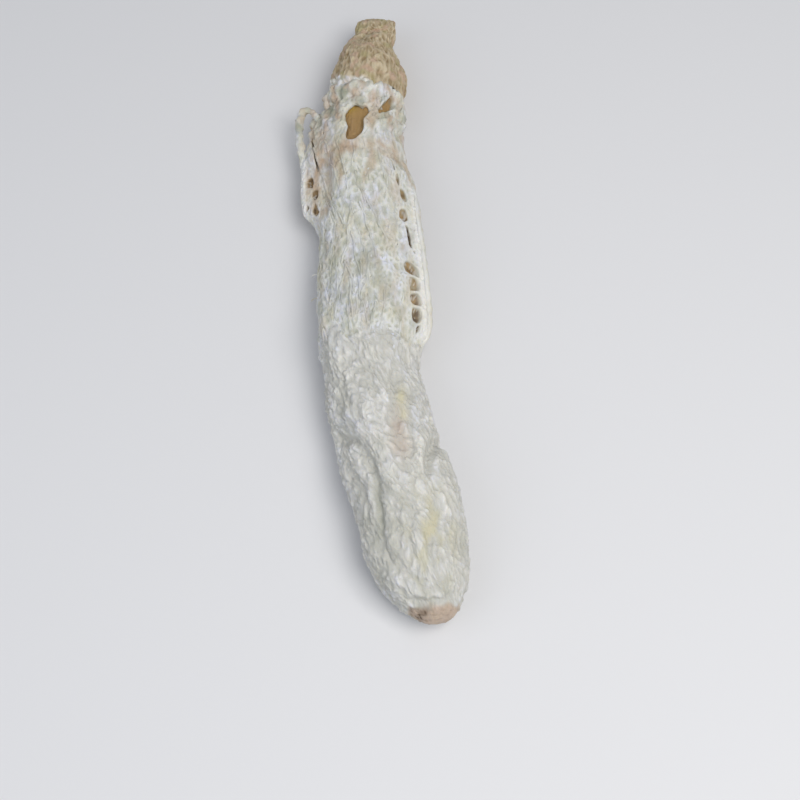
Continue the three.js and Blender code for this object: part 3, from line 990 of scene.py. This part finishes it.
def layNet():  # the net as a solid: its points, which of them lie underneath, how deep each lies, its faces
    look = veilLook
    points, rings = drawNet()
    points = relaxNet(points, rings, 3)
    halfWidth, thick = strandSizes(bendNet(points), points[:, 1])
    centres = onVeil(veilMiddle, np.array([points[ring].mean(0) for _, ring in rings]))
    flat, height, deep, faces = [], [], [], []
    total = 0

    def add(where, over, depth):  # adds points at a height over the flat drawing, and gives their numbers
        nonlocal total
        flat.append(where)
        height.append(over)
        deep.append(np.full(len(where), float(depth)))
        total += len(where)
        return total - len(where) + np.arange(len(where))

    def bridge(outer, inner, flip=1):  # faces from a loop to one inside it or to a single point
        sides = [outer, inner, np.roll(inner, -1), np.roll(outer, -1)]
        if len(inner) == 1:
            sides = [outer, np.repeat(inner, len(outer)), np.roll(outer, -1)]
        faces.extend(np.stack(sides, -1)[:, ::flip].tolist())
        return inner

    def fill(last, outline, body, level, depth, shares=(0.55, 0), sag=0, drop=0, flip=1):
        middle = outline.mean(0)
        for share in shares:  # smaller and smaller loops, the last of them a single point
            inside = middle + (outline - middle) * share if share else middle[None]
            over = (body if share else body.mean(keepdims=True)) * level - sag * (1 - share ** 2) - drop
            last = bridge(last, add(inside, over, depth), flip)

    ratio = spreadAt(points[:, 0], points[:, 1])
    tops, unders = add(points, thick, 0), add(points, -thick, 1)
    for (kind, ring), isClosed, filling in zip(rings, closedAt(centres), waves(centres, 1.5, 33)):
        edge = points[ring]
        edge = edge[0] + np.concatenate([[[0, 0]], np.cumsum(wrapped(np.diff(edge, axis=0)), axis=0)])
        inset = halfWidth[ring]
        if kind != "outside":
            ahead = np.roll(edge, -1, axis=0)
            area = abs((edge[:, 0] * ahead[:, 1] - ahead[:, 0] * edge[:, 1]).sum()) / 2
            inset = np.minimum(inset, 1.2 * area / np.linalg.norm(ahead - edge, axis=1).sum())
        if kind.startswith("opening"):
            inset = np.minimum(inset, look["openingRim"])
        across = holeIn(edge, inset) - edge
        across[:, 0] /= ratio[ring]
        isRim = kind.startswith("rim")
        isFilled = isRim or (isClosed and kind.startswith("mesh"))
        last, under, body = tops[ring], unders[ring], thick[ring]
        for angle in np.radians(look["profile"]):
            if isFilled and angle < 0.5:
                break
            up = math.sin(angle)
            last = bridge(last, add(edge + across * math.cos(angle), body * up, 0.5 - 0.5 * up))
        if kind.startswith("openingFilm"):
            film = {"shares": (0.85, 0.6, 0.3, 0), "sag": look["filmSag"]}
            fill(last, edge + across, body, -1, filmDepth, **film)
            fill(under, edge + across, body, -1, filmDepth, drop=look["filmThickness"], flip=-1, **film)
        elif isFilled:
            over = 1.0 if isRim else 0.7 if kind.startswith("meshGuard") else 0.35 + 0.8 * filling
            for start, level, flip in ((last, over, 1), (under, -1, -1)):
                fill(start, edge + across, body, level, 0 if isRim else 0.95 - 0.4 * level, flip=flip)
        else:
            bridge(last, under)
    flat, height, deep = np.concatenate(flat), np.concatenate(height), np.concatenate(deep)
    print(f"net drawn: {len(rings)} meshes, {len(points)} strand points")

    place = onVeil(veilMiddle, flat)
    loose = 0.35 + 0.65 * rise(place[:, 1], collarY - 16, collarY - 10)
    crumple = loose * (0.6 * waves(place, (4, 7, 4), 27) + 0.5 * waves(place, (1.8, 2.6, 1.8), 28)
                       + 0.45 * waves(place, 1.0, 32))
    crumple *= 1 - 0.85 * rimAt(place)
    return place + outOfVeil(flat) * (height + crumple + clingAt(place))[:, None], height < 0, deep, faces


def sweep(line, sides, spacing, bumps=((1.8, 0.3), (0.8, 0.12))):  # a strand along x, y, z and radius
    line = np.array(line, float)
    path = np.concatenate([line[:1], line, line[-1:]])
    length = np.linalg.norm(np.diff(line[:, :3], axis=0), axis=1).sum()
    rows = max(6, round(length / spacing))
    t = np.linspace(0.5, len(path) - 1.5, rows)
    line = readLine(path, t)
    run = np.gradient(line[:, :3], axis=0)
    run /= np.linalg.norm(run, axis=1, keepdims=True)
    across = np.cross(run, (0, 0, 1))
    across /= np.linalg.norm(across, axis=1, keepdims=True)
    over = np.cross(across, run)
    turn = turnsOf(sides)
    ring = across[:, None] * np.cos(turn)[None, :, None] + over[:, None] * np.sin(turn)[None, :, None]
    fromEnd = np.minimum(np.arange(rows), np.arange(rows)[::-1]) * spacing
    radius = (line[:, 3] * np.sqrt(np.clip(fromEnd / 1.2, 0.02, 1)))[:, None]
    smooth = line[:, None, :3] + ring * radius[..., None]
    rough = 1 + sum(amount * waves(smooth, size, 60) for size, amount in bumps)
    points = line[:, None, :3] + ring * (radius * rough)[..., None]
    return np.concatenate([points.reshape(-1, 3), line[[0, -1], :3]]), tubeOf(rows, sides)


def fibreLines():  # the planned thick strands, then long thin fibres weaving lengthways over the upper side
    look = veilLook
    for strand in look["strands"]:
        strand = sorted(strand, key=lambda point: point[1])
        ys = np.arange(strand[0][1], strand[-1][1], 1.2)
        xs, radius = lineAt(strand, ys)
        flat = np.array([(roundAt(x, y), y) for x, y in zip(xs, ys)])
        flat[1:-1, 0] = (flat[:-2, 0] + 2 * flat[1:-1, 0] + flat[2:, 0]) / 4
        place = onVeil(veilMiddle, flat)
        lift = clingAt(place) + 0.5 * radius + 0.8 * rimAt(place)
        yield np.column_stack([place + outOfVeil(flat) * lift[:, None], radius])
    rng = np.random.default_rng(6)
    for _ in range(look["fibres"]):
        s, y = rng.uniform(20, 53), rng.uniform(hemY + 2, collarY - 20)
        length, radius = rng.uniform(*look["fibreLength"]), rng.uniform(*look["fibreRadius"])
        lean = rng.normal(0, 0.18)
        ys = np.arange(y - length / 2, y + length / 2, 1.4)
        ys = ys[(ys > hemY + 4) & (ys < collarY - 20)]
        if len(ys) < 4:
            continue
        flap = rise(s, 39, 43) * rise(ys, 14, 22) * (1 - rise(s, 51, 54))
        slope = lean + 0.06 + 0.2 * flap
        across = s + np.cumsum(slope * np.gradient(ys)) / spreadAt(s, y)
        across += 0.9 * waves(np.column_stack([across, ys, 0 * ys]), (9, 5, 9), 35)
        flat = np.column_stack([across, ys])
        place = onVeil(veilMiddle, flat)
        if openingGap(place).min() < 2.3 or rimAt(place).max() > 0.3:
            continue
        lift = look["thick"] * 0.7 + clingAt(place)
        yield np.column_stack([place + outOfVeil(flat) * lift[:, None], np.full(len(ys), radius)])


def makeVeil():
    look = veilLook
    solid, inner, deep, faces = layNet()
    strands = [sweep(line, 12, 0.4, ((2.0, 0.45), (0.9, 0.3))) for line in look["loose"]]
    strands += [sweep(line, 8, 0.6) for line in fibreLines()]
    for strand, strandFaces in strands:
        faces += [tuple(i + len(solid) for i in face) for face in strandFaces]
        solid = np.concatenate([solid, strand])
        deep = np.concatenate([deep, 0.2 + 0.6 * rise(waves(strand, 1.6, 34), 0, 0.5)])
        inner = np.concatenate([inner, np.zeros(len(strand), bool)])
    solid[:, 2] = np.maximum(solid[:, 2], lowest)

    x, y, z = solid.T
    rope = rimAt(solid)
    film = deep == filmDepth
    deep = np.where(film, 0.6, deep)
    top = rise(z, 8, 11)
    collar = rise(y, collarY - 14, collarY - 9)
    masks = {
        # Painted shade: the crease mask darkens the strands' sides and undersides and the floors of closed
        # meshes, which lie deep, with some random mottle.
        "creaseShade": 0.75 * deep + 0.35 * waves(solid, (5, 8, 5), 30),
        "grey": (0.65 * collar * rise(waves(solid, (3.4, 4.4, 3.4), 36), 0.05, 0.45)
                 + 0.5 * (1 - rise(y, 10, 30)) * rise(waves(solid, (3, 5, 3), 40), -0.1, 0.6) + 0.7 * film),
        "tan": (0.6 * collar * rise(waves(solid, (3.4, 4.4, 3.4), 37), 0.1, 0.5)
                + (0.25 + 0.3 * rise(y, 18, 36)) * rise(waves(solid, (3, 9, 3), 31), 0.0, 0.5)),
        # Painted shade: the undersides of both flaps are tinted ochre for the shade under them. The films'
        # grey, ochre, dark brown and pale are partly the dried film's own colour and partly painted shade for
        # the dark seen through the openings.
        "ochre": (0.8 * inner * rise(9.5 - z, 0, 1) * ((x < -15) | (x > 9))
                  + film * (0.65 + 0.5 * waves(solid, 1.8, 41))),
        "stainAndShade": film * (0.16 + 0.6 * rise(waves(solid, (1.2, 1.6, 1.2), 42), 0.05, 0.5)),
        "pale": 0.75 * rope + 0.5 * film * rise(waves(solid, (0.9, 1.4, 0.9), 43), 0.2, 0.45),
    }
    blur = 0.7 + 0.6 * waves(solid, 1.5, 38)
    addStainsAndShade(masks, look["stainsAndShade"], x, y, blur * top)
    addStainsAndShade(masks, look["filmStainsAndShade"], x, y, blur * 1.3 * film)
    for mask in ("creaseShade", "grey", "tan"):
        masks[mask] *= 1 - 0.8 * rope
    makePiece("net_veil", solid, faces, masks, fleshMaterial("driedNetFlesh", netFlesh), "veil")


makeVeil()


# The cap is a hollow cone with a knob at the top, low ridges all over it and a white spongy lower margin.
capLook = {
    "columns": 320,
    "step": 0.22,
    "wall": 1.1,
    "cavity": 9,  # how deep the hollow goes
    "corner": 2.0,  # rounding of the knob
    "dimple": 1.2,
    "lean": 0.85,  # the knob's end slopes back at the top
    "pit": (1.3, 3.2, 1.3),  # across, along and across again
    "pitDepth": 0.42,
    # How far the white margin reaches above the rim, from the left side over the top to the right, -1 to 1.
    "margin": [(-1, 8.0), (-0.75, 4.6), (-0.5, 3.4), (0, 2.6), (0.12, 2.2), (0.22, 0.2), (0.5, 0.6),
               (0.8, 1.2), (1, 0.8)],
}


def makeCap():
    look = capLook
    knobY = crownY - look["corner"]

    # One line from the top of the hollow, down inside, round the rim, up outside and over the knob.
    quarter = np.linspace(0.06, math.pi / 2, 14)
    up = np.arange(rimY + 1, knobY, look["step"])
    down = np.arange(rimY + look["cavity"] - 3, rimY + 0.8, -0.6)
    bowl = np.linspace(1, 0.03, 20)
    halfTurn = np.linspace(0.3, 2.9, 6)
    corner, wall = look["corner"], look["wall"]
    line = [(rimY + look["cavity"] - 3 + 3 * math.cos(t), math.sin(t), wall) for t in quarter]
    line += [(y, 1, wall) for y in down]
    line += [(rimY + 0.6 - 0.5 * math.sin(t), 1, wall / 2 * (1 + math.cos(t))) for t in halfTurn]
    line += [(y, 1, 0) for y in up]
    line += [(knobY + corner * math.sin(t), 1, corner * (1 - math.cos(t))) for t in quarter[:-1]]
    line += [(crownY - look["dimple"] * (1 - share ** 2) ** 1.5, share, corner) for share in bowl]
    rowY, fullness, inward = np.array(line).T
    y, turn = np.meshgrid(rowY, turnsOf(look["columns"]), indexing="ij")
    measured = np.minimum(y, knobY)
    reach = (capSkin(measured, turn) - inward[:, None]) * fullness[:, None]
    points = roundAxis(readLine(capAxis, rowOf(capPlaces, measured)), reach, y, turn)
    normal = normalsOf(points)

    rows = np.arange(len(rowY))
    atRim = len(quarter) + len(down)
    outside = rise(rows, atRim + 2, atRim + 8)[:, None]
    stray = drift(points, 4, (41, 42, 43))
    cells = lumps(points + 0.8 * stray, look["pit"], 44)
    small = lumps(points + 0.5 * stray, (0.8, 1.5, 0.8), 53)
    dashes = rise(waves(points + 0.4 * stray, (0.8, 1.9, 0.8), 58), -0.45, 0.45)
    pit = 0.45 * rise(cells, 0.04, 0.5) + 0.45 * dashes + 0.1 * rise(small, 0, 0.4)
    edge = rimY + np.interp(np.cos(turn), *np.array(look["margin"]).T)
    edge = edge + 0.7 * waves(points, (2.5, 40, 2.5), 45)
    white = (1 - rise(y, edge - 0.7, edge + 0.7)) * outside
    sponge = lumps(points + 0.8 * stray, (2.0, 2.6, 2.0), 46)
    fine = waves(points, 0.7, 54)
    ridged = -look["pitDepth"] * pit + 0.25 * waves(points, (1.6, 4.0, 1.6), 47) + 0.08 * fine
    spongy = 0.5 * rise(sponge, 0, 0.5) - 0.4 + 0.25 * waves(points, 1.4, 48) + 0.12 * fine
    height = 0.7 * waves(points, (5, 6, 5), 49) + (1 - white) * ridged + white * spongy
    points = points + normal * (height * (0.25 + 0.75 * outside))[..., None]
    points[..., 1] += 0.6 * waves(points, (3, 30, 3), 50) * (1 - rise(y, rimY + 1, rimY + 4))
    knob = rise(points[..., 1], crownY - 9, crownY - 2)
    points[..., 1] -= look["lean"] * knob * np.maximum(points[..., 2] - 9.5, 0)
    points[..., 2] = np.maximum(points[..., 2], lowest)

    browned = outside * (1 - white)
    masks = {
        # Painted shade: the crease mask darkens the pits of the white spongy margin, with random mottle.
        "creaseShade": white * (0.7 * (1 - rise(sponge, 0, 0.4)) + 0.8 * rise(waves(points, 2.5, 55), 0, 0.5)),
        "ridge": browned,
        "pit": browned * (0.95 * pit + 0.3 * waves(points, 3, 51)),
        "olive": browned * 0.7 * rise(waves(points, 3.5, 52), 0.05, 0.6),
        "tan": (0.75 * browned * rise(waves(points, 2.5, 56), 0.05, 0.5)
                + 0.3 * white * rise(waves(points, 2, 57), 0.1, 0.5)),
        "ochre": 0.7 * (1 - rise(rows, 12, 20))[:, None] + 0 * y,
    }
    ends = np.stack([points[0].mean(0), points[-1].mean(0)])
    makeTube("ridged_cap", points, ends, masks, fleshMaterial("driedCapFlesh", capFlesh), "cap")


makeCap()


studio = {
    "floor": "#e3e3e5",
    "sky": "#eef2f7",
    "skyStrength": 0.38,
    "key": {"at": (0.24, -0.24, 0.6), "size": 0.42, "watts": 3.0, "colour": "#fffdfa"},
    "fill": {"at": (-0.45, -0.3, 0.5), "size": 0.6, "watts": 1.0, "colour": "#eef3ff"},
}


def makeFloor():  # a plain pale board, nearly matt
    material = bpy.data.materials.new("paleBoard")
    material.use_nodes = True
    tree = material.node_tree
    look = {"Base Color": hexColour(studio["floor"]), "Roughness": 0.6}
    wire(tree, tree.nodes["Principled BSDF"], look)
    mesh = bpy.data.meshes.new("floor")
    mesh.from_pydata([(-3, -3, 0), (3, -3, 0), (3, 3, 0), (-3, 3, 0)], [], [(0, 1, 2, 3)])
    mesh.materials.append(material)
    floor = addObject("floor", mesh)


def makeLight(name, look):
    light = bpy.data.lights.new(name, "AREA")
    light.size = look["size"]
    light.energy = look["watts"]
    light.color = hexColour(look["colour"])[:3]
    lamp = addObject(name, light)
    lamp.location = look["at"]
    lamp.rotation_euler = (-Vector(look["at"])).to_track_quat("-Z", "Y").to_euler()


def makeWorld():
    world = bpy.data.worlds.new("studio")
    world.use_nodes = True
    background = world.node_tree.nodes["Background"]
    background.inputs["Color"].default_value = hexColour(studio["sky"])
    background.inputs["Strength"].default_value = studio["skyStrength"]
    bpy.context.scene.world = world


view = {"elevation": 62, "distance": 0.40, "lens": 72, "at": (0.0059, -0.0327, 0.010)}


def makeCamera():
    data = bpy.data.cameras.new("camera")
    data.lens = view["lens"]
    camera = addObject("camera", data)
    lean = math.radians(view["elevation"])
    back = Vector((0, -math.cos(lean), math.sin(lean)))
    camera.location = Vector(view["at"]) + back * view["distance"]
    camera.rotation_euler = (-back).to_track_quat("-Z", "Y").to_euler()
    bpy.context.scene.camera = camera


makeFloor()
makeLight("key", studio["key"])
makeLight("fill", studio["fill"])
makeWorld()
makeCamera()
bpy.context.scene.view_settings.view_transform = "Standard"
print("floor, light and camera set")
